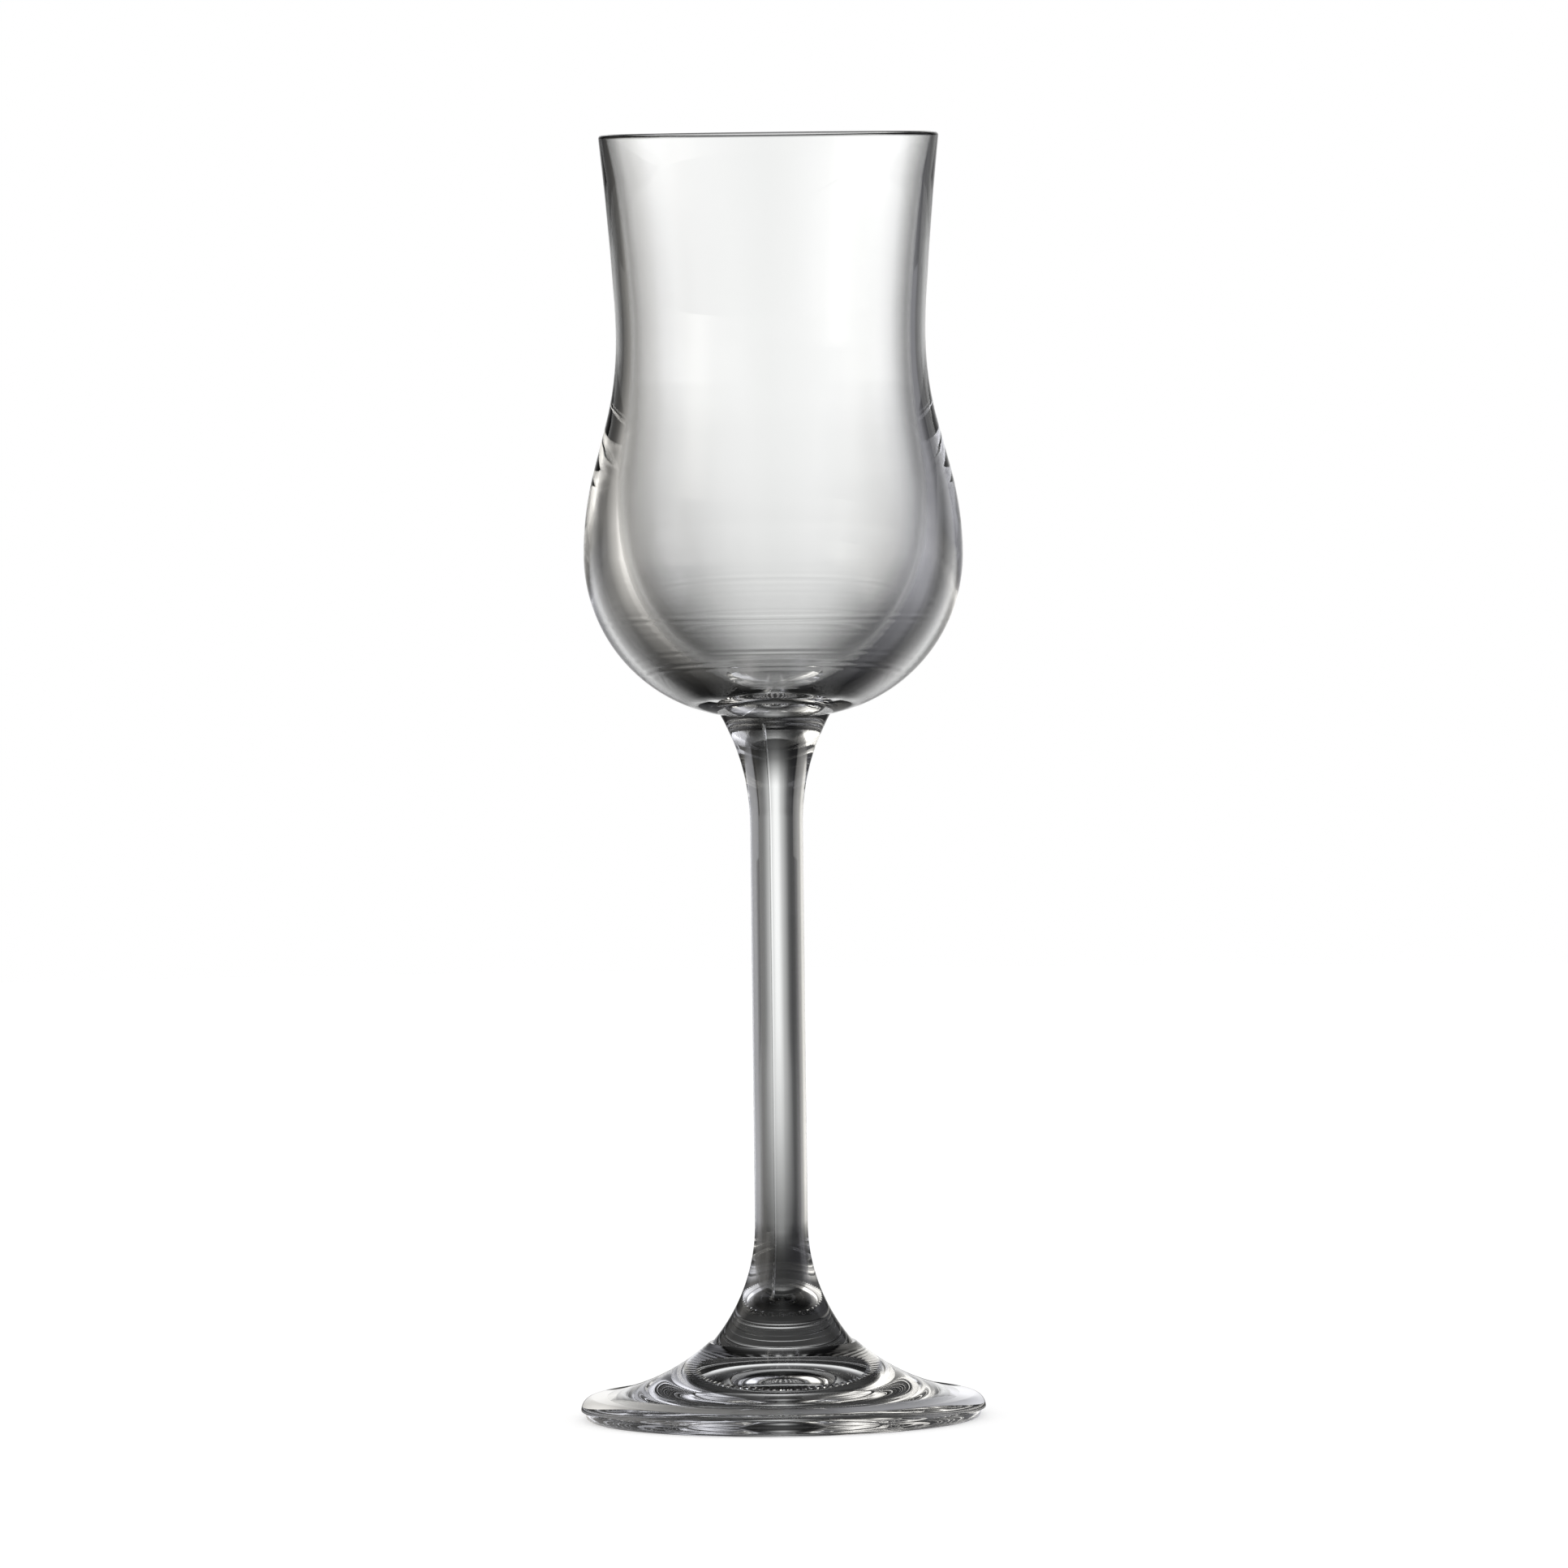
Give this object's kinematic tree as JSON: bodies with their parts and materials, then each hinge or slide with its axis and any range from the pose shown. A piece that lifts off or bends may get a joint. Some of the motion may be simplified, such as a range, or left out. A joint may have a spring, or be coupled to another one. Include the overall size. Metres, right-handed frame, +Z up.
{
  "type": "port glass",
  "caption": "Clear stemmed port glass with a waisted tulip bowl on a heavy base, a slim flared stem and a round stepped foot that rests flat on a table.",
  "frame": {"origin": "centre of the foot's resting ring, on the table", "axes": "+Z up along the axis of the glass, from the foot to the rim; the glass is round about +Z, so +X and +Y are alike"},
  "size_m": [0.0552, 0.0552, 0.175],
  "materials": {
    "bowl_glass": "blown clear glass, fire-polished at the rim",
    "stem_glass": "pressed clear glass, fire-polished, with faint mould seams",
    "foot_glass": "pressed clear glass, fire-polished"
  },
  "bodies": {
    "root": {"bowl": "bowl_glass", "stem": "stem_glass", "foot": "foot_glass"}
  },
  "joints": []
}
